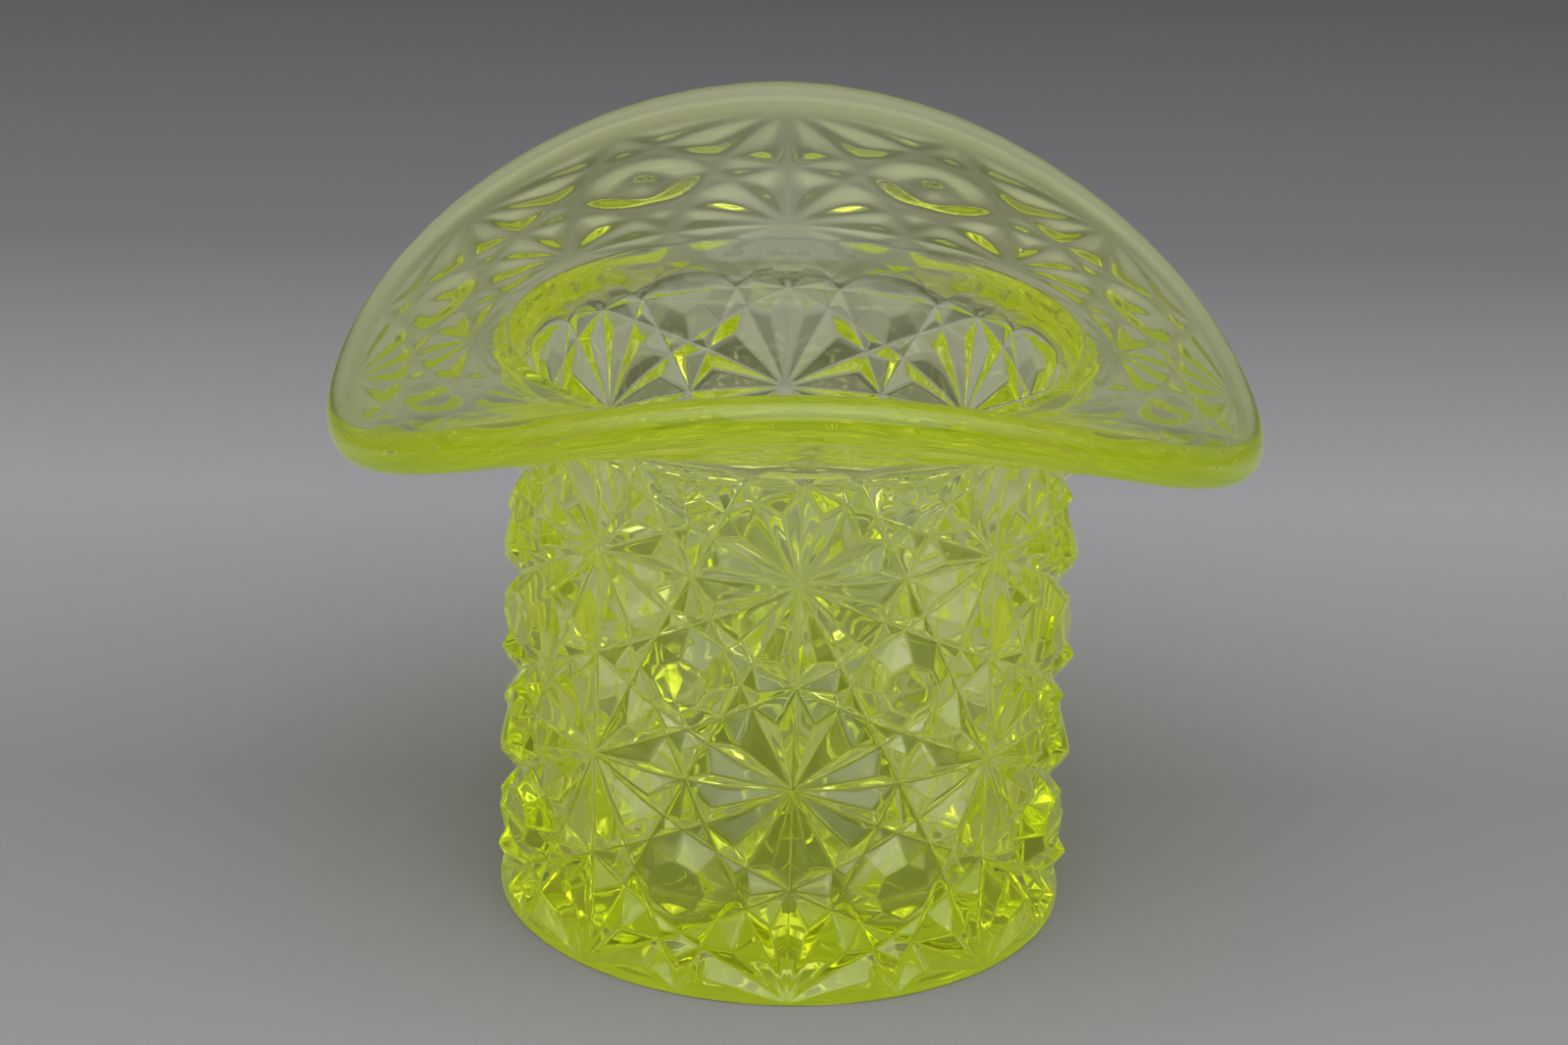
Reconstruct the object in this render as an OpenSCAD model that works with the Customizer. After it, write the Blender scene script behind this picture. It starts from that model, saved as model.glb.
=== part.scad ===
// Glass hat: a small pressed-glass hat that stands on its crown, brim up.
// One pressing, drawn as its formed zones, which meet face to face.
// Millimetres. Origin in the middle of the base plane, +Z up, front at -Y.

/* [Crown] */
// Diameter over the pattern at the base
crown_base_d = 53.4; // [49:0.2:59]
// Diameter over the pattern at the neck, under the brim
crown_neck_d = 52.4; // [48:0.2:58]
// Height of the first row line over the base plane
foot_h = 1.1; // [0.8:0.1:2]
// Height at which the pattern ends over the base plane
edge_h = 0.35; // [0.3:0.05:0.6]
// Height of one row of the pattern
row_h = 19.4; // [17:0.2:22]
// Height from the top row line of the crown to the mouth edge
neck_h = 14.3; // [12.5:0.1:17]
// Height at which the neck starts to bend out, measured down from the mouth edge
bend_h = 4.2; // [3.8:0.1:5.6]

/* [Pattern] */
// Columns of the pattern round the hat
columns = 8; // [6:1:10]
// Depth of the V grooves on the crown
groove_depth = 1.9; // [1.2:0.1:2.3]
// Half width of a V groove, as a share of one column
groove_share = 0.105; // [0.09:0.005:0.13]
// Depth that the grooves keep where they run out at the base
edge_depth = 0.25; // [0.2:0.05:0.4]

/* [Inside] */
// Glass behind the grooves at the base
wall_base = 4.4; // [3:0.1:6]
// Glass behind the grooves where the throat begins to open
wall_neck = 2.6; // [2:0.1:4]
// Thickness of the floor
floor_t = 6.5; // [5:0.1:9]
// Height of the sloped corner between floor and wall
corner_h = 3; // [2:0.1:5]
// Width of the slope at the mouth
lip_w = 0.7; // [0.5:0.1:1.2]
// Height of the slope at the mouth
lip_h = 1.6; // [1.2:0.1:2.2]
// Flat land between the slope and the brim
lip_land = 0.3; // [0.3:0.1:0.6]

/* [Brim] */
// Mean width of the brim's top, from mouth edge to the start of the rounded edge
brim_w = 17.4; // [14:0.1:21]
// Extra width at front and back, and less at the sides
brim_w_wave = 1.5; // [0:0.1:2.5]
// Thickness at the rim
brim_t = 4.6; // [3.8:0.1:5.4]
// Thickness at the mouth
root_t = 3.2; // [2.8:0.1:4]
// Depth of the pattern under the brim
brim_relief = 0.4; // [0.3:0.1:0.8]
// Mean angle at which the brim leaves the mouth
brim_angle = 12; // [6:0.5:16]
// Change of that angle, up at front and back and down at the sides
brim_angle_wave = 21; // [14:0.2:25]
// Mean bend of the brim from mouth to rim, down
brim_curl = 12.2; // [9:0.2:18]
// Change of that bend, up at front and back and down at the sides
brim_curl_wave = 7.8; // [4:0.2:8.6]
// Distance of the first ring of the brim's pattern from the mouth edge
ring_gap = 3; // [2.4:0.1:4]
// Plain band between the pattern and the rounded edge
rim_band = 1; // [0.8:0.1:2]

/* [Underside] */
// Depth of the hollow under the base
hollow_h = 0.5; // [0.3:0.1:1]
// Width of the ring that the base stands on, inside the wall
stand_w = 1.6; // [1:0.1:3]
// Rays of the pressed star
star_rays = 16; // [12:1:24]
// Depth of the star in the middle
star_h = 1; // [0.6:0.1:1.6]

/* [Hidden] */
glass = [0.76, 0.83, 0.30, 0.6];
base_r = crown_base_d / 2;
neck_r = crown_neck_d / 2;
row2_z = foot_h + 2 * row_h;
mouth_z = row2_z + neck_h;
bend_z = mouth_z - bend_h;
mouth_r = neck_r - 0.5;
bend_v = 2.48;
bend_pull = bend_h * 0.3;
edge_rows = 0.16;
rim_rows = 0.3;
bend_depth = deep_at(bend_v);
rim_r = brim_t / 2;
stations = columns * 8;
rim_steps = 8;
top_steps = 6;
cavity_base_r = base_r - groove_depth - wall_base;
throat_r = neck_r - bend_depth - wall_neck;
throat_z = bend_z - 4;
lip_r = mouth_r - lip_land - lip_w;
hollow_r = cavity_base_r - stand_w - hollow_h;
star_r = hollow_r - 1.5;

// Pattern cell, one column wide and one row high: flower at the corners, button in the middle.
// Each point is column, row and height, with 0 at the groove lines and 1 at the button tables.
function snap(x) = round(x * 1e6) / 1e6;
function lift(d) = snap(min(1, d / groove_share));
button_in = sqrt(5) / 10;
table = (button_in - groove_share) / button_in;
flower = [0, 0, 0];
star = [0.5, 0, 0];
cross = [0.4, 0.2, 0];
kite_end = [snap(1 / 3), snap(1 / 3), 0];
button_end = [0.5, 0.25, 0];
petal_top = [snap(0.361803), snap(0.085410), lift(0.085410)];
kite_top = [0.25, 0.25, lift(0.111803)];
star_top = [0.5, snap(1 / 6), lift(0.074536)];
chip_top = [snap(5 / 12), 0.25, lift(0.037268)];
button_mid = [0.5, 0.5, 1];
function to_table(p) = [snap(0.5 + (p[0] - 0.5) * table), snap(0.5 + (p[1] - 0.5) * table), 1];
table_side = to_table(button_end);
table_corner = to_table(kite_end);
eighth = [
  [flower, star, petal_top],
  [star, cross, petal_top],
  [cross, flower, petal_top],
  [flower, cross, kite_top],
  [cross, kite_end, kite_top],
  [star, star_top, cross],
  [star_top, button_end, cross],
  [cross, button_end, chip_top],
  [button_end, kite_end, chip_top],
  [kite_end, cross, chip_top],
  [kite_end, button_end, table_side],
  [kite_end, table_side, table_corner],
  [table_corner, table_side, button_mid]
];
function swapped(t) = [for (i = [0, 2, 1]) [t[i][1], t[i][0], t[i][2]]];
function flip_u(t) = [for (i = [0, 2, 1]) [snap(1 - t[i][0]), t[i][1], t[i][2]]];
function flip_v(t) = [for (i = [0, 2, 1]) [t[i][0], snap(1 - t[i][1]), t[i][2]]];
quarter = concat(eighth, [for (t = eighth) swapped(t)]);
half = concat(quarter, [for (t = quarter) flip_u(t)]);
cell = concat(half, [for (t = half) flip_v(t)]);

// Cuts at upright lines let the flat facets follow the round of the hat
function blend(p, q, k) = [for (i = [0:2]) snap(p[i] + k * (q[i] - p[i]))];
function rising(p, q, u) = blend(p, q, (u - p[0]) / (q[0] - p[0]));
function at_u(p, q, u) = p[0] < q[0] ? rising(p, q, u) : rising(q, p, u);
function side(p, u) = abs(p[0] - u) < 1e-5 ? 0 : sign(p[0] - u);
function turned(t, i) = [t[i], t[(i + 1) % 3], t[(i + 2) % 3]];
function cut_two(t, m) = [[t[0], t[1], m], [t[0], m, t[2]]];
function cut_three(t, m, n) = [[t[0], m, n], [m, t[1], t[2]], [m, t[2], n]];
function cut_from_point(t, u) = cut_two(t, at_u(t[1], t[2], u));
function cut_off_corner(t, u) = cut_three(t, at_u(t[0], t[1], u), at_u(t[0], t[2], u));
function cut(t, u) =
  let (s = [for (p = t) side(p, u)])
  max(s) <= 0 || min(s) >= 0 ? [t]
  : s[0] * s[1] * s[2] == 0 ? cut_from_point(turned(t, s[0] == 0 ? 0 : s[1] == 0 ? 1 : 2), u)
  : cut_off_corner(turned(t, s[0] == s[1] ? 2 : s[1] == s[2] ? 0 : 1), u);
function cut_all(tris, lines, i = 0) =
  i == len(lines) ? tris : cut_all([for (t = tris) each cut(t, lines[i])], lines, i + 1);
crown_cell = cut_all(cell, [0.25, 0.75]);
brim_cell = cut_all(cell, [0.125, 0.25, 0.375, 0.625, 0.75, 0.875]);

// The last row line of the crown gets the brim's closer stations
function on_line(t, i) = t[i][1] == 1 && t[(i + 1) % 3][1] == 1;
function line_edge(t) = on_line(t, 0) ? 0 : on_line(t, 1) ? 1 : on_line(t, 2) ? 2 : -1;
function split_first(t) = [[t[0], blend(t[0], t[1], 0.5), t[2]], [blend(t[0], t[1], 0.5), t[1], t[2]]];
function split_line(t) = line_edge(t) < 0 ? [t] : split_first(turned(t, line_edge(t)));
neck_cell = [for (t = crown_cell) each split_line(t)];

// Brim: its top leaves the mouth edge at one angle and bends evenly to another
function angle0(th) = brim_angle + brim_angle_wave * cos(2 * th);
function bend(th) = brim_curl_wave * cos(2 * th) - brim_curl;
function width(th) = brim_w + brim_w_wave * cos(2 * th);
function angle(s, th) = angle0(th) + bend(th) * s / width(th);
function curved(s, th) =
  let (k = bend(th) / width(th) * PI / 180, a = angle0(th), b = angle(s, th))
  [(sin(b) - sin(a)) / k, (cos(a) - cos(b)) / k];
function straight(s, th) = [s * cos(angle0(th)), s * sin(angle0(th))];
function run(s, th) = abs(bend(th)) < 0.01 ? straight(s, th) : curved(s, th);
function top_at(s, th) = [mouth_r, mouth_z] + run(s, th);
function down(s, th) = [sin(angle(s, th)), -cos(angle(s, th))];
function along(s, th) = [cos(angle(s, th)), sin(angle(s, th))];
function thick_at(s, th) = root_t + (brim_t - root_t) * s / width(th);
function under_at(s, th, deep) = top_at(s, th) + (thick_at(s, th) - deep) * down(s, th);
function ring_s(th) = width(th) - rim_band;

// Groove surface of the outside, by row v and angle: point, outward direction and depth of the relief
function fade(low, full, k) = low + (full - low) * min(1, k);
function ridge_r(z) = base_r - (base_r - neck_r) * z / bend_z;
function low_z(v) = edge_h + (foot_h + row_h / 2 - edge_h) * v * 2;
function neck_z(v) = row2_z + (v - 2) / (bend_v - 2) * (bend_z - row2_z);
function wall_z(v) = v < 0.5 ? low_z(v) : v <= 2 ? foot_h + v * row_h : neck_z(v);
function deep_at(v) =
  v < 2 ? fade(edge_depth, groove_depth, v / edge_rows)
  : v < 3 ? fade(groove_depth, brim_relief, (v - 2) * (4 - v))
  : fade(0, brim_relief, (4 - v) / rim_rows);
function on_wall(v) = [[ridge_r(wall_z(v)) - deep_at(v), wall_z(v)], [1, 0], deep_at(v)];
function bezier(p, t) =
  pow(1 - t, 3) * p[0] + 3 * t * pow(1 - t, 2) * p[1] + 3 * t * t * (1 - t) * p[2] + pow(t, 3) * p[3];
function bezier_way(p, t) =
  pow(1 - t, 2) * (p[1] - p[0]) + 2 * t * (1 - t) * (p[2] - p[1]) + t * t * (p[3] - p[2]);
function neck_line(th) =
  let (a = [neck_r - bend_depth, bend_z], b = under_at(ring_gap, th, brim_relief))
  [a, a + [0, bend_pull], b - bend_pull * along(ring_gap, th), b];
function facing(w) = [w[1], -w[0]] / norm(w);
function on_neck(v, th) =
  let (p = neck_line(th), t = (v - bend_v) / (3 - bend_v))
  [bezier(p, t), facing(bezier_way(p, t)), deep_at(v)];
function on_brim(v, th) =
  let (s = ring_gap + (v - 3) * (ring_s(th) - ring_gap))
  [under_at(s, th, deep_at(v)), down(s, th), deep_at(v)];
function outside(v, th) =
  v <= bend_v ? on_wall(v) : v <= 3 ? on_neck(v, th) : on_brim(v, th);
function place(p, th) = [p[0] * sin(th), -p[0] * cos(th), p[1]];
function skin(p, col, row) =
  let (th = (p[0] + col) * 360 / columns, o = outside(p[1] + row, th))
  place(o[0] + p[2] * o[2] * o[1], th);
function relief(tris, row) =
  [for (col = [0:columns - 1]) for (t = tris) [for (p = t) skin(p, col, row)]];

// Rings of points and the triangles between them, outside on the left of a ring's run
function theta(j, n) = (j % n) * 360 / n;
function strip(a, b) =
  let (n = len(a))
  [for (j = [0:n - 1]) each [[a[j], b[j], b[(j + 1) % n]], [a[j], b[(j + 1) % n], a[(j + 1) % n]]]];
function turned_over(tris) = [for (t = tris) [t[2], t[1], t[0]]];
function fan(mid, a) = [for (j = [0:len(a) - 1]) [mid, a[j], a[(j + 1) % len(a)]]];
function row_ring(v, n) = [for (j = [0:n - 1]) place(outside(v, theta(j, n))[0], theta(j, n))];
function top_ring(k) =
  [for (j = [0:stations - 1]) let (th = theta(j, stations)) place(top_at(k * ring_s(th), th), th)];
mouth_ring = top_ring(0);
brim_end = top_ring(1);
first_ring = row_ring(3, stations);
last_ring = row_ring(4, stations);
seat = strip(mouth_ring, first_ring);
joint = strip(last_ring, brim_end);
module shell(tris) {
  polyhedron(
    points = [for (t = tris) for (p = t) p],
    faces = [for (i = [0:len(tris) - 1]) [3 * i + 2, 3 * i + 1, 3 * i]]
  );
}

// Inside of the hat: a slightly tapered well, a throat that opens and a slope at the mouth
function cavity_r(z) = cavity_base_r + (throat_r - cavity_base_r) * z / throat_z;
module cavity() {
  rotate_extrude($fn = 96)
    polygon([
      [0, -1], [cavity_r(-1), -1], [throat_r, throat_z], [lip_r, mouth_z - lip_h],
      [mouth_r - lip_land, mouth_z], [mouth_r - lip_land, mouth_z + 1], [0, mouth_z + 1]
    ]);
}

// Star pressed into the underside, deepest in the middle
module star_cut() {
  grow = (star_h + 0.2) / star_h;
  ring = [for (i = [0:2 * star_rays - 1])
    let (r = grow * (i % 2 == 0 ? star_r : star_r * 0.34), a = i * 180 / star_rays)
    [r * sin(a), -r * cos(a), hollow_h - 0.2]];
  shell(concat(fan([0, 0, hollow_h + star_h], ring), turned_over(fan([0, 0, hollow_h - 0.2], ring))));
}

// Thick floor with the ring it stands on
module base() {
  top_z = floor_t + corner_h;
  color(glass) difference() {
    rotate_extrude($fn = 96)
      polygon([
        [0, hollow_h], [hollow_r, hollow_h], [hollow_r + hollow_h, 0], [cavity_r(0), 0],
        [cavity_r(top_z), top_z], [cavity_r(top_z) - corner_h * 0.4, floor_t + corner_h * 0.3],
        [cavity_r(top_z) - corner_h, floor_t], [0, floor_t]
      ]);
    star_cut();
  }
}

// Patterned wall from the base edge to the neck
module crown() {
  foot_top = row_ring(0, columns * 4);
  foot_low = [for (p = foot_top) [p[0], p[1], 0]];
  color(glass) difference() {
    shell(concat(
      fan([0, 0, mouth_z], mouth_ring),
      seat,
      relief(neck_cell, 2),
      relief(crown_cell, 1),
      relief(crown_cell, 0),
      strip(foot_top, foot_low),
      turned_over(fan([0, 0, 0], foot_low))
    ));
    cavity();
  }
}

// Curved brim, smooth on top and patterned below
module brim() {
  color(glass) shell(concat(
    [for (i = [0:top_steps - 1]) each strip(top_ring(i / top_steps), top_ring((i + 1) / top_steps))],
    turned_over(joint),
    relief(brim_cell, 3),
    turned_over(seat)
  ));
}

// Plain band with a rounded edge
module rim() {
  function edge_at(i, th) =
    let (e = 90 - i * 180 / rim_steps, s = width(th))
    top_at(s, th) + rim_r * down(s, th) + rim_r * (cos(e) * along(s, th) - sin(e) * down(s, th));
  function edge_ring(i) =
    [for (j = [0:stations - 1]) let (th = theta(j, stations)) place(edge_at(i, th), th)];
  color(glass) shell(concat(
    strip(brim_end, edge_ring(0)),
    [for (i = [0:rim_steps - 1]) each strip(edge_ring(i), edge_ring(i + 1))],
    strip(edge_ring(rim_steps), last_ring),
    joint
  ));
}

base();
crown();
brim();
rim();
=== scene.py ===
import math
import bpy
import numpy as np
from mathutils import Matrix, Vector


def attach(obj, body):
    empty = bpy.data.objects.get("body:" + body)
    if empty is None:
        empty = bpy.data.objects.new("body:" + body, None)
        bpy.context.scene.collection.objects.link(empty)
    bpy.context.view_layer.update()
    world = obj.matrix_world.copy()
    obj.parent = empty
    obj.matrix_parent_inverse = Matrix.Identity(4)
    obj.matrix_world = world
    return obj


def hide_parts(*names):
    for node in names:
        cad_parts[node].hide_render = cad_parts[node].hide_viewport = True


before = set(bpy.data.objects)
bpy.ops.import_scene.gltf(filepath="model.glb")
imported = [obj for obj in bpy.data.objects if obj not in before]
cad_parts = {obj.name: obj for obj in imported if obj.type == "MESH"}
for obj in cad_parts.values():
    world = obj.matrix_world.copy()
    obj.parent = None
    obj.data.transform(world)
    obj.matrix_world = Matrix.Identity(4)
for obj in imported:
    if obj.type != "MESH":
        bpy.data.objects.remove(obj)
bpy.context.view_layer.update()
scene = bpy.context.scene

# Sizes of the hat in millimetres, within about 1 mm of those of the solids
MM = 0.001
# Crown: radii over the pattern, then heights of the base edge, first row line, rows, neck and bend
BASE_R = 26.7
NECK_R = 26.2
EDGE_H = 0.35
FOOT_H = 1.1
ROW_H = 19.4
NECK_H = 14.3
BEND_H = 5.0
# Pattern: columns and rows, then the crown's last row line, the brim's first ring and the neck's bend
COLUMNS = 8
ROWS = 4
TOP_ROW = 2
RING_ROW = 3
BEND_ROW = 2.48
# V grooves: depth, half width as a share of a column, depth at the base edge, rows to full depth
GROOVE_DEPTH = 1.9
GROOVE_SHARE = 0.105
EDGE_DEPTH = 0.7
EDGE_FADE = 0.09
# Inside: glass behind the grooves, floor and its corner, slope at the mouth, reach of the throat's flare
WALL_BASE = 4.4
WALL_NECK = 2.6
FLOOR_T = 6.5
CORNER_H = 3.0
MOUTH_STEP = 0.5
LIP_W = 1.0
LIP_H = 1.6
THROAT_DROP = 4
THROAT_REACH = 8
# Brim: width, thickness at the rim and the mouth, angle at the mouth, bend from mouth to rim, rings
BRIM_W = 17.6
BRIM_W_WAVE = 1.5
BRIM_T = 4.0
ROOT_T = 3.1
BRIM_RELIEF = 0.4
BRIM_ANGLE = 12
BRIM_ANGLE_WAVE = 21
BRIM_CURL = 12.2
BRIM_CURL_WAVE = 7.8
RING_GAP = 3.0
RIM_BAND = 1.0
# Underside: hollow, ring that the hat stands on, pressed star
HOLLOW_H = 0.5
STAND_W = 1.6
STAR_RAYS = 16
STAR_H = 1.0
STAR_GAP = 1.5
STAR_NOTCH = 0.34

# Steps of the mesh: along a facet, with points that crowd to its edges, and across the plain zones
FACET_STEPS = 6
CROWDING = 1.7
BAND_STEPS = 6
RIM_STEPS = 16
TOP_STEPS = 24
WELL_STEPS = 12
FLOOR_SHARES = (1.0, 0.8, 0.6, 0.4, 0.2, 0.08)
# Rounding of the crown's ridges and grooves, as a share of a column, and the grooves' part of it
CROWN_SOFT = 0.005
GROOVE_ROUND = 0.4
# Reheated brim: height of its cells and its change from back to side, width of the soft grooves,
# depth and width of the hollow in a button
CELL_H = 0.7
CELL_WAVE = 0.15
GROOVE_W = 1.3
BUTTON_DIP = 0.5
BUTTON_W = 1.9
# Rows between which the crown's relief ends and the brim's begins
CROWN_END = (2.4, 2.9)
BRIM_START = (2.75, 3.1)
# Roundings at the mouth: start on the brim's top, and shares of the slope and of the throat
MOUTH_EASE = 0.3
LIP_ROUND = 0.15
THROAT_ROUND = 0.06
# Height of the floor's slow wave
FLOOR_WAVE = 0.03
# Two rows closer than this are the same one
SAME_ROW = 1e-6


# Depth of the grooves on the neck, from the crown's depth to the brim's
def neck_depth(v):
    return GROOVE_DEPTH + (BRIM_RELIEF - GROOVE_DEPTH) * (v - TOP_ROW) * (ROWS - v)


ROW2_Z = FOOT_H + TOP_ROW * ROW_H
MOUTH_Z = ROW2_Z + NECK_H
MOUTH_R = NECK_R - MOUTH_STEP
BEND_Z = MOUTH_Z - BEND_H
BEND_PULL = BEND_H * 0.3
BEND_DEPTH = neck_depth(BEND_ROW)
RIM_R = BRIM_T / 2
CAVITY_BASE_R = BASE_R - GROOVE_DEPTH - WALL_BASE
THROAT_R = NECK_R - BEND_DEPTH - WALL_NECK
THROAT_Z = BEND_Z - THROAT_DROP
LIP_R = MOUTH_R - LIP_W
HOLLOW_R = CAVITY_BASE_R - STAND_W - HOLLOW_H
STAR_R = HOLLOW_R - STAR_GAP


# Brim: its top leaves the mouth edge at one angle and bends evenly to another
def start_angle(th):
    return np.radians(BRIM_ANGLE + BRIM_ANGLE_WAVE * np.cos(2 * th))


def brim_bend(th):
    return np.radians(BRIM_CURL_WAVE * np.cos(2 * th) - BRIM_CURL)


def brim_width(th):
    return BRIM_W + BRIM_W_WAVE * np.cos(2 * th)


def brim_top(s, th):
    """Radius, height and angle of the top at the distance s from the mouth edge."""
    a = start_angle(th)
    k = brim_bend(th) / brim_width(th)
    k = np.where(np.abs(k) < 1e-7, 1e-7, k)
    b = a + k * s
    return MOUTH_R + (np.sin(b) - np.sin(a)) / k, MOUTH_Z + (np.cos(a) - np.cos(b)) / k, b


def brim_under(s, th):
    r, z, b = brim_top(s, th)
    thick = ROOT_T + (BRIM_T - ROOT_T) * s / brim_width(th)
    return r + thick * np.sin(b), z - thick * np.cos(b)


def ring_end(th):
    return brim_width(th) - RIM_BAND


# Outside, at the bottom of the grooves, by row and angle: radius, height and the outward direction
def ridge_r(z):
    return BASE_R - (BASE_R - NECK_R) * z / BEND_Z


def wall_height(v):
    half_z = FOOT_H + ROW_H / 2
    neck_z = ROW2_Z + (v - TOP_ROW) / (BEND_ROW - TOP_ROW) * (BEND_Z - ROW2_Z)
    z = np.where(v <= TOP_ROW, FOOT_H + v * ROW_H, neck_z)
    return np.where(v < 0.5, EDGE_H + (half_z - EDGE_H) * v / 0.5, z)


def groove_depth(v):
    depth = EDGE_DEPTH + (GROOVE_DEPTH - EDGE_DEPTH) * np.clip(v / EDGE_FADE, 0, 1)
    depth = np.where(v > TOP_ROW, neck_depth(v), depth)
    return np.where(v > RING_ROW, BRIM_RELIEF, depth)


def bend_curve(v, th):
    """Curve of the neck, from the wall to the brim's first ring."""
    gap = np.full_like(v, RING_GAP)
    end_r, end_z = brim_under(gap, th)
    b = brim_top(gap, th)[2]
    start_r = np.full_like(v, NECK_R - BEND_DEPTH)
    start_z = np.full_like(v, BEND_Z)
    pr = [start_r, start_r, end_r - BEND_PULL * np.cos(b), end_r]
    pz = [start_z, start_z + BEND_PULL, end_z - BEND_PULL * np.sin(b), end_z]
    t = np.clip((v - BEND_ROW) / (RING_ROW - BEND_ROW), 0, 1)
    w = [(1 - t) ** 3, 3 * t * (1 - t) ** 2, 3 * t * t * (1 - t), t ** 3]
    dw = [(1 - t) ** 2, 2 * t * (1 - t), t * t]
    r = sum(a * c for a, c in zip(w, pr))
    z = sum(a * c for a, c in zip(w, pz))
    way_r = sum(a * (pr[i + 1] - pr[i]) for i, a in enumerate(dw))
    way_z = sum(a * (pz[i + 1] - pz[i]) for i, a in enumerate(dw))
    size = np.hypot(way_r, way_z)
    return r, z, way_z / size, -way_r / size


def brim_ring(v, th):
    s = RING_GAP + np.maximum(v - RING_ROW, 0) * (ring_end(th) - RING_GAP)
    r, z = brim_under(s, th)
    b = brim_top(s, th)[2]
    return r, z, np.sin(b), -np.cos(b)


def outside(v, th):
    wall_z = wall_height(v)
    wall = (ridge_r(wall_z) - groove_depth(v), wall_z, np.ones_like(v), np.zeros_like(v))
    zones = zip(wall, bend_curve(v, th), brim_ring(v, th))
    return [np.where(v > RING_ROW, c, np.where(v > BEND_ROW, b, a)) for a, b, c in zones]


# Groove lines: shares of column and row in each, and the step between its lines
LINES = [(1, 0, 1), (0, 1, 1), (-0.5, 1, 0.5), (0.5, 1, 0.5), (1, -0.5, 0.5), (1, 0.5, 0.5)]


def line_gap(u, v, line, column=1.0, row=1.0):
    """Distance to the nearest groove line of one direction."""
    a, b, step = line
    x = (a * u + b * v) / step
    return np.abs(x - np.round(x)) * step / np.hypot(a / column, b / row)


def soft_min(a, b, k):
    h = np.maximum(k - np.abs(a - b), 0) / k
    return np.minimum(a, b) - h * h * k * 0.25


def relief(u, v, soft):
    """Relief of the crown, 0 to 1: distance to the nearest groove line, capped at the button tables."""
    gaps = [line_gap(u, v, line) for line in LINES]
    round_off = GROOVE_ROUND * soft
    gaps = [np.hypot(g, round_off) - round_off for g in gaps]
    low = gaps[0]
    for g in gaps[1:]:
        low = soft_min(low, g, soft)
    return soft_min(low, np.full_like(low, GROOVE_SHARE), soft) / GROOVE_SHARE


def soft_relief(u, v, column, row):
    """Relief of the brim in millimetres: pillows between soft grooves, a round hollow in each button."""
    h = CELL_H - CELL_WAVE * np.cos(4 * np.pi * u / COLUMNS)
    for line in LINES:
        h = h * (1 - np.exp(-(line_gap(u, v, line, column, row) / GROOVE_W) ** 2))
    side = (u - np.floor(u) - 0.5) * column
    up = (v - np.floor(v) - 0.5) * row
    return h - BUTTON_DIP * np.exp(-(side ** 2 + up ** 2) / BUTTON_W ** 2)


def eased(x, ends):
    t = np.clip((x - ends[0]) / (ends[1] - ends[0]), 0, 1)
    return t * t * (3 - 2 * t)


# One pattern cell: flower at the corners, button in the middle, its facets divided into small triangles
def cell_facets():
    flower, star, cross = (0, 0), (0.5, 0), (0.4, 0.2)
    kite_end, button_end = (1 / 3, 1 / 3), (0.5, 0.25)
    petal_top, kite_top = (0.361803, 0.085410), (0.25, 0.25)
    star_top, chip_top = (0.5, 1 / 6), (5 / 12, 0.25)
    inside = math.sqrt(5) / 10
    share = (inside - GROOVE_SHARE) / inside
    table_side = (0.5, 0.5 + (0.25 - 0.5) * share)
    table_corner = (0.5 - share / 6, 0.5 - share / 6)
    middle = (0.5, 0.5)
    eighth = [
        (flower, star, petal_top), (star, cross, petal_top), (cross, flower, petal_top),
        (flower, cross, kite_top), (cross, kite_end, kite_top),
        (star, star_top, cross), (star_top, button_end, cross),
        (cross, button_end, chip_top), (button_end, kite_end, chip_top), (kite_end, cross, chip_top),
        (kite_end, button_end, table_side), (kite_end, table_side, table_corner),
        (table_corner, table_side, middle),
    ]
    tris = np.array(eighth, float)
    tris = np.concatenate([tris, tris[:, [0, 2, 1]][:, :, ::-1]])
    for axis in (0, 1):
        other = tris[:, [0, 2, 1]].copy()
        other[:, :, axis] = 1 - other[:, :, axis]
        tris = np.concatenate([tris, other])
    return tris


def triangle_grid(n, power):
    index = {}
    weights = []
    for i in range(n + 1):
        for j in range(n + 1 - i):
            index[i, j] = len(weights)
            w = np.array([n - i - j, i, j]) / n
            w = w ** power
            weights.append(w / w.sum())
    faces = []
    for i in range(n):
        for j in range(n - i):
            faces.append((index[i, j], index[i + 1, j], index[i, j + 1]))
            if i + j < n - 1:
                faces.append((index[i + 1, j], index[i + 1, j + 1], index[i, j + 1]))
    return np.array(weights), np.array(faces)


# Points that agree to this many parts of a column are one point
KEY_PARTS = 1e5
KEY_STRIDE = 10_000_000
NO_WRAP = 1000


def merge(points, faces, columns):
    """Joins equal points, where the columns run round and meet again."""
    keys = np.round(points * KEY_PARTS).astype(np.int64)
    keys[:, 0] %= int(columns * KEY_PARTS)
    code = keys[:, 0] * KEY_STRIDE + keys[:, 1]
    _, first, back = np.unique(code, return_index=True, return_inverse=True)
    return points[first], back.ravel()[faces]


def pattern_mesh():
    facets = cell_facets()
    weights, grid = triangle_grid(FACET_STEPS, CROWDING)
    points = np.einsum("kc,fcx->fkx", weights, facets)
    faces = grid[None] + (np.arange(len(facets)) * len(weights))[:, None, None]
    points, faces = merge(points.reshape(-1, 2), faces.reshape(-1, 3), NO_WRAP)
    shift = np.array([(c, r) for r in range(ROWS) for c in range(COLUMNS)], float)
    every = (points[None] + shift[:, None]).reshape(-1, 2)
    joined = (faces[None] + (np.arange(len(shift)) * len(points))[:, None, None]).reshape(-1, 3)
    return merge(every, joined, COLUMNS)


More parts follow.
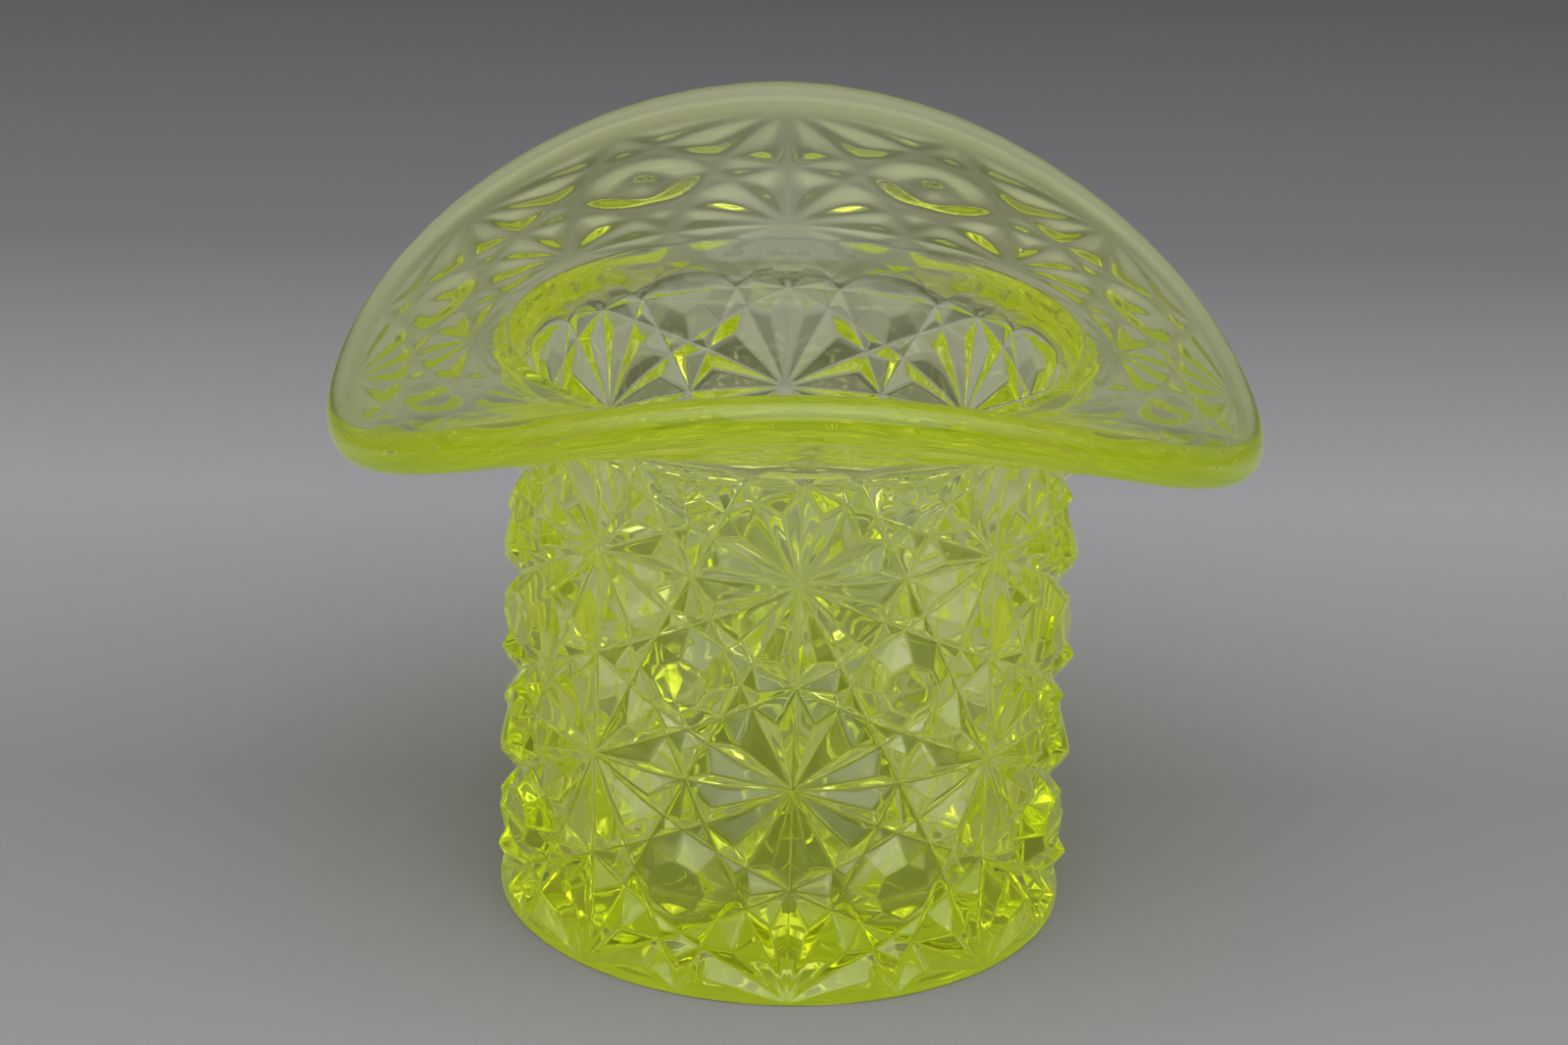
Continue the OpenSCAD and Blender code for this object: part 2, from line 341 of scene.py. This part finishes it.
class Shell:
    """Collects points, in millimetres, and faces of one closed surface."""

    def __init__(self):
        self.points = []
        self.faces = []
        self.count = 0

    def add(self, points):
        start = self.count
        self.points.append(np.asarray(points, float))
        self.count += len(points)
        return np.arange(start, self.count)

    def ring(self, r, z, th):
        r = np.broadcast_to(r, th.shape)
        z = np.broadcast_to(z, th.shape)
        return self.add(np.stack([r * np.sin(th), -r * np.cos(th), z], 1))

    def strip(self, a, b):
        for x, y, p, q in zip(a, np.roll(a, -1), np.roll(b, -1), b):
            self.faces.append((x, y, p, q))

    def fan(self, a, mid):
        for x, y in zip(a, np.roll(a, -1)):
            self.faces.append((x, y, mid))


def blended(a, b, t):
    return a + (b - a) * t


def corner(p, q, r, steps):
    """Points of a rounded corner from p over q to r, without its two ends."""
    out = []
    for t in np.linspace(0, 1, steps + 2)[1:-1]:
        w = ((1 - t) ** 2, 2 * t * (1 - t), t * t)
        out.append(tuple(w[0] * a + w[1] * b + w[2] * c for a, b, c in zip(p, q, r)))
    return out


# Slow unevenness of the surfaces that the plunger and the reheating leave
def sway(th, z):
    wide = 0.03 * np.sin(3 * th + 0.09 * z)
    close = 0.022 * np.sin(5 * th - 0.17 * z + 1.3)
    steep = 0.016 * np.cos(2 * th + 0.31 * z)
    return wide + close + steep


# Rings of the plain zones, each a radius and a height, at the angles t
def rim_rings(t):
    """Plain band under the brim, then the rounded edge."""
    width = brim_width(t)
    rings = []
    for q in np.linspace(0, 1, BAND_STEPS + 1)[1:]:
        rings.append(brim_under(blended(ring_end(t), width, q), t))
    end_r, end_z, b = brim_top(width, t)
    mid_r = end_r + RIM_R * np.sin(b)
    mid_z = end_z - RIM_R * np.cos(b)
    for e in np.radians(np.linspace(-90, 90, RIM_STEPS + 1)[1:]):
        rings.append((
            mid_r + RIM_R * (np.cos(e) * np.cos(b) - np.sin(e) * np.sin(b)),
            mid_z + RIM_R * (np.cos(e) * np.sin(b) + np.sin(e) * np.cos(b)),
        ))
    return rings


def top_rings(t):
    """Smooth top of the brim, from the rounded edge to the mouth."""
    width = brim_width(t)
    rings = []
    for q in np.linspace(1, 0, TOP_STEPS + 1)[1:]:
        s = blended(MOUTH_EASE, width, q)
        top_r, top_z, b = brim_top(s, t)
        lift = sway(t, 2 * s) * np.minimum(1, np.minimum(1 - q, q) * 5)
        rings.append((top_r - lift * np.sin(b), top_z + lift * np.cos(b)))
    return rings


def mouth_rings(start):
    """Mouth edge with its slope, ending where the throat begins to narrow."""
    lip_top = (MOUTH_R - LIP_ROUND * LIP_W, MOUTH_Z - LIP_ROUND * LIP_H)
    lip_low = (LIP_R + LIP_ROUND * LIP_W, MOUTH_Z - (1 - LIP_ROUND) * LIP_H)
    lip_mid = (blended(lip_top[0], lip_low[0], 0.5), blended(lip_top[1], lip_low[1], 0.5))
    lip_end = (LIP_R, MOUTH_Z - LIP_H)
    throat = (blended(LIP_R, THROAT_R, THROAT_ROUND), blended(lip_end[1], THROAT_Z, THROAT_ROUND))
    rings = corner(start, (MOUTH_R, MOUTH_Z), lip_top, 4)
    rings += [lip_top, lip_mid, lip_low]
    rings += corner(lip_low, lip_end, throat, 3)
    return rings + [throat]


def well_r(height):
    return CAVITY_BASE_R + (THROAT_R - CAVITY_BASE_R) * height / THROAT_Z


def well_rings(throat, t):
    """Throat, tapered wall, rounded corner and floor of the well."""
    well_top = THROAT_Z - THROAT_REACH
    well_foot = FLOOR_T + CORNER_H
    floor_end = (well_r(FLOOR_T) - CORNER_H, FLOOR_T)
    rings = corner(throat, (THROAT_R, THROAT_Z), (well_r(well_top), well_top), 9)
    for height in np.linspace(well_top, well_foot, WELL_STEPS):
        rings.append((well_r(height) + sway(t, height), height))
    rings += corner((well_r(well_foot), well_foot), (well_r(FLOOR_T), FLOOR_T), floor_end, 6)
    for q in FLOOR_SHARES:
        rings.append((floor_end[0] * q, FLOOR_T + FLOOR_WAVE * np.cos(2 * t) * q * (1 - q) * 4))
    return rings


def ground_rings():
    """Rounded foot, flat ring that the hat stands on, and the rounded step up into the hollow."""
    foot_r = BASE_R - EDGE_DEPTH
    step_r = HOLLOW_R + HOLLOW_H
    foot = [(foot_r, 0.16), (foot_r - 0.07, 0.05), (foot_r - 0.22, 0)]
    stand = [(foot_r - 0.6, 0), (blended(foot_r, step_r, 0.5), 0), (step_r + 0.3, 0)]
    step = [(step_r, 0.04), (HOLLOW_R + 0.08, HOLLOW_H - 0.05), (HOLLOW_R - 0.25, HOLLOW_H)]
    return foot + stand + step + [(STAR_R, HOLLOW_H)]


def add_star(shell, ring, t):
    """Pressed star inside the last ring of the underside."""
    steps = len(t) // STAR_RAYS
    tips = ring[::steps]
    notches = shell.ring(STAR_R * STAR_NOTCH, HOLLOW_H, t[::steps] + np.pi / STAR_RAYS)
    apex = shell.add([(0, 0, HOLLOW_H + STAR_H)])[0]
    for k in range(STAR_RAYS):
        arc = [ring[(k * steps + i) % len(ring)] for i in range(steps + 1)]
        for p, q in zip(arc, arc[1:]):
            shell.faces.append((q, p, notches[k]))
        shell.faces.append((notches[k], tips[k], apex))
        shell.faces.append((tips[(k + 1) % STAR_RAYS], notches[k], apex))


def build_hat():
    shell = Shell()
    uv, faces = pattern_mesh()
    u, v = uv[:, 0], uv[:, 1]
    th = u * 2 * np.pi / COLUMNS
    r, z, nr, nz = outside(v, th)
    pressed = relief(u, v, CROWN_SOFT) * groove_depth(v) * (1 - eased(v, CROWN_END))
    soft = soft_relief(u, v, r * 2 * np.pi / COLUMNS, ring_end(th) - RING_GAP) * eased(v, BRIM_START)
    edge = (v < SAME_ROW) | (v > ROWS - SAME_ROW)
    h = np.where(edge, 0, pressed + soft)
    shell.ring(r + h * nr, z + h * nz, th)
    shell.faces += [tuple(f) for f in faces]

    def row_ring(row):
        ids = np.nonzero(np.abs(v - row) < SAME_ROW)[0]
        return ids[np.argsort(u[ids])]

    # From the pattern's last ring over the rim and down the well to the axis
    before = row_ring(ROWS)
    t = th[before]
    rings = rim_rings(t) + top_rings(t)
    rings += mouth_rings(rings[-1])
    rings += well_rings(rings[-1], t)
    for ring_r, ring_z in rings:
        here = shell.ring(ring_r, ring_z, t)
        shell.strip(before, here)
        before = here
    shell.fan(before, shell.add([(0, 0, FLOOR_T)])[0])

    # From the pattern's first ring under the foot to the star
    before = row_ring(0)
    t = th[before]
    for ring_r, ring_z in ground_rings():
        here = shell.ring(ring_r, ring_z, t)
        shell.strip(here, before)
        before = here
    flat_from = len(shell.faces)
    add_star(shell, before, t)

    mesh = bpy.data.meshes.new("glass_hat")
    mesh.from_pydata((np.concatenate(shell.points) * MM).tolist(), [], shell.faces)
    smooth = np.ones(len(mesh.polygons), bool)
    smooth[flat_from:] = False
    mesh.polygons.foreach_set("use_smooth", smooth)
    mesh.validate()
    mesh.update()
    return mesh


def add_node(nt, kind, values=()):
    """Adds a node with plain values on the named sockets."""
    node = nt.nodes.new("ShaderNode" + kind)
    for socket, value in dict(values).items():
        node.inputs[socket].default_value = value
    return node


# Yellow-green glass: clear surface with a faint unevenness, colour by absorption inside, and a faint
# painted glow, emission that stands in for light and is strongest where the glass holds the light in
GLASS_IOR = 1.51
SURFACE_COLOUR = (0.98, 1.0, 0.93, 1)
INSIDE_COLOUR = (0.955, 0.985, 0.03, 1)
INSIDE_DENSITY = 98
PAINTED_GLOW_COLOUR = (0.85, 1.0, 0.08, 1)
PAINTED_GLOW_CLEAR = 0.016
PAINTED_GLOW_HELD = 0.062
ROUGH_LEAST = 0.015
ROUGH_MOST = 0.07


def glass_material():
    mat = bpy.data.materials.new("yellow_green_glass")
    mat.use_nodes = True
    nt = mat.node_tree
    nt.nodes.clear()
    out = add_node(nt, "OutputMaterial")
    body = add_node(nt, "BsdfPrincipled", {
        "Base Color": SURFACE_COLOUR,
        "Transmission Weight": 1.0,
        "IOR": GLASS_IOR,
        "Emission Color": PAINTED_GLOW_COLOUR,
    })
    # Painted glow: emission standing in for light, raised by the Fresnel share to its most where light is
    # held in by total reflection
    painted_glow_fresnel = add_node(nt, "Fresnel", {"IOR": GLASS_IOR})
    painted_glow = add_node(nt, "MapRange", {"To Min": PAINTED_GLOW_CLEAR, "To Max": PAINTED_GLOW_HELD})
    coord = add_node(nt, "TexCoord")
    skin = add_node(nt, "TexNoise", {"Scale": 260, "Detail": 2.0})
    bump = add_node(nt, "Bump", {"Strength": 0.06, "Distance": 0.00012})
    haze = add_node(nt, "TexNoise", {"Scale": 700, "Detail": 4.0})
    rough = add_node(nt, "MapRange", {
        "From Min": 0.35,
        "From Max": 0.8,
        "To Min": ROUGH_LEAST,
        "To Max": ROUGH_MOST,
    })
    inside = add_node(nt, "VolumeAbsorption", {"Color": INSIDE_COLOUR, "Density": INSIDE_DENSITY})
    nt.links.new(painted_glow_fresnel.outputs["Fac"], painted_glow.inputs["Value"])
    nt.links.new(painted_glow.outputs["Result"], body.inputs["Emission Strength"])
    nt.links.new(coord.outputs["Object"], skin.inputs["Vector"])
    nt.links.new(coord.outputs["Object"], haze.inputs["Vector"])
    nt.links.new(skin.outputs["Fac"], bump.inputs["Height"])
    nt.links.new(bump.outputs["Normal"], body.inputs["Normal"])
    nt.links.new(haze.outputs["Fac"], rough.inputs["Value"])
    nt.links.new(rough.outputs["Result"], body.inputs["Roughness"])
    nt.links.new(body.outputs["BSDF"], out.inputs["Surface"])
    nt.links.new(inside.outputs["Volume"], out.inputs["Volume"])
    # The painted glow is too faint to sample as a lamp
    mat.cycles.emission_sampling = "NONE"
    return mat


hat = bpy.data.objects.new("glass_hat", build_hat())
scene.collection.objects.link(hat)
hat.data.materials.append(glass_material())
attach(hat, "root")
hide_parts("base", "crown", "brim", "rim")


# Floor with painted light and shade in its colour: a painted pool of light behind the hat, painted shade
# just beside it and painted falloff darkening towards the back; shares of the way from front to back, with
# the tone there
FLOOR_PAINTED_LIGHT_TONES = [(0, 0.27), (0.13, 0.26), (0.24, 0.21), (0.39, 0.29), (0.56, 0.155), (0.79, 0.092), (1, 0.06)]
FLOOR_FRONT = -0.1
FLOOR_BACK = 0.4
FLOOR_BLUE = 1.04
FLOOR_HALF = 3
FLOOR_CORNERS = [(-1, -1), (1, -1), (1, 1), (-1, 1)]
# Just below the hat, so that the two faces don't meet
FLOOR_Z = -0.00003


def floor_material():
    mat = bpy.data.materials.new("floor_grey_painted_light")
    mat.use_nodes = True
    nt = mat.node_tree
    body = nt.nodes["Principled BSDF"]
    body.inputs["Roughness"].default_value = 0.9
    body.inputs["Specular IOR Level"].default_value = 0.1
    coord = add_node(nt, "TexCoord")
    split = add_node(nt, "SeparateXYZ")
    # Ramp of painted light and shade along the floor's Y: painted light pool, painted shade beside the hat,
    # painted falloff to the back
    ramp = add_node(nt, "ValToRGB")
    span = add_node(nt, "MapRange", {"From Min": FLOOR_FRONT, "From Max": FLOOR_BACK})
    stops = ramp.color_ramp.elements
    for place, tone in FLOOR_PAINTED_LIGHT_TONES:
        stop = stops[0] if place == 0 else stops[-1] if place == 1 else stops.new(place)
        stop.color = (tone, tone, tone * FLOOR_BLUE, 1)
    nt.links.new(coord.outputs["Object"], split.inputs["Vector"])
    nt.links.new(split.outputs["Y"], span.inputs["Value"])
    nt.links.new(span.outputs["Result"], ramp.inputs["Fac"])
    nt.links.new(ramp.outputs["Color"], body.inputs["Base Color"])
    return mat


floor_points = [(x * FLOOR_HALF, y * FLOOR_HALF, 0) for x, y in FLOOR_CORNERS]
floor_mesh = bpy.data.meshes.new("floor")
floor_mesh.from_pydata(floor_points, [], [(0, 1, 2, 3)])
floor = bpy.data.objects.new("floor", floor_mesh)
floor.location.z = FLOOR_Z
scene.collection.objects.link(floor)
floor_mesh.materials.append(floor_material())

# Camera: places in millimetres and angles in radians, fitted to the photograph's frame
CAM_DISTANCE = 403.7
CAM_HEIGHT = 200.2
AIM_HEIGHT = 35.7
AIM_SIDE = -0.6
FOCAL_PX = 4896.5
FRAME_PX = 1600
SENSOR_W = 36
ROLL = 0.0322
TURN = 0.039


def add_camera():
    turn = Matrix.Rotation(-TURN, 3, "Z")
    place = turn @ Vector((0, -CAM_DISTANCE, CAM_HEIGHT)) * MM
    aim = turn @ Vector((AIM_SIDE, 0, AIM_HEIGHT)) * MM
    ahead = (aim - place).normalized()
    right = ahead.cross(Vector((0, 0, 1))).normalized()
    up = right.cross(ahead)
    side = math.cos(ROLL) * right + math.sin(ROLL) * up
    top = -math.sin(ROLL) * right + math.cos(ROLL) * up
    data = bpy.data.cameras.new("camera")
    data.sensor_width = SENSOR_W
    data.lens = FOCAL_PX / FRAME_PX * SENSOR_W
    data.clip_start = 0.01
    cam = bpy.data.objects.new("camera", data)
    rows = Matrix((side, top, -ahead)).transposed().to_4x4()
    rows.translation = place
    cam.matrix_world = rows
    scene.collection.objects.link(cam)
    scene.camera = cam


def area_light(name, place, aim, size, power):
    data = bpy.data.lights.new(name, "AREA")
    data.shape = "RECTANGLE"
    data.size, data.size_y = size
    data.energy = power
    lamp = bpy.data.objects.new(name, data)
    lamp.location = place
    lamp.rotation_euler = (Vector(aim) - Vector(place)).to_track_quat("-Z", "Y").to_euler()
    scene.collection.objects.link(lamp)


# World: soft sky that brightens overhead and is bright in front of the hat and dark behind it
SKY_FRONT = 2.85
SKY_BACK = 0.1
SKY_LOW = 0.14
SKY_POWER = 2.0
# Directions between which the sky turns from front to back, as their Y
SKY_TURN = (-0.35, 0.6)


def make_world():
    world = bpy.data.worlds.new("studio")
    scene.world = world
    world.use_nodes = True
    nt = world.node_tree
    back = nt.nodes["Background"]
    back.inputs["Color"].default_value = (1.0, 1.0, 1.01, 1)
    coord = add_node(nt, "TexCoord")
    split = add_node(nt, "SeparateXYZ")
    height = add_node(nt, "Math", {1: 0.0})
    height.operation = "MAXIMUM"
    overhead = add_node(nt, "Math", {1: SKY_POWER})
    overhead.operation = "POWER"
    share = add_node(nt, "MapRange", {
        "From Min": SKY_TURN[0],
        "From Max": SKY_TURN[1],
        "To Min": SKY_FRONT,
        "To Max": SKY_BACK,
    })
    share.interpolation_type = "SMOOTHSTEP"
    level = add_node(nt, "Math", {2: SKY_LOW})
    level.operation = "MULTIPLY_ADD"
    nt.links.new(coord.outputs["Generated"], split.inputs["Vector"])
    nt.links.new(split.outputs["Z"], height.inputs[0])
    nt.links.new(height.outputs["Value"], overhead.inputs[0])
    nt.links.new(split.outputs["Y"], share.inputs["Value"])
    nt.links.new(overhead.outputs["Value"], level.inputs[0])
    nt.links.new(share.outputs["Result"], level.inputs[1])
    nt.links.new(level.outputs["Value"], back.inputs["Strength"])


# Light that passes many faces of the glass still counts
BOUNCES = 32

add_camera()
make_world()
area_light("soft_front", (0.1, -0.65, 0.6), (0, 0, 0.03), (0.8, 0.8), 2.0)
scene.view_settings.view_transform = "Standard"
scene.cycles.max_bounces = BOUNCES
scene.cycles.transmission_bounces = BOUNCES
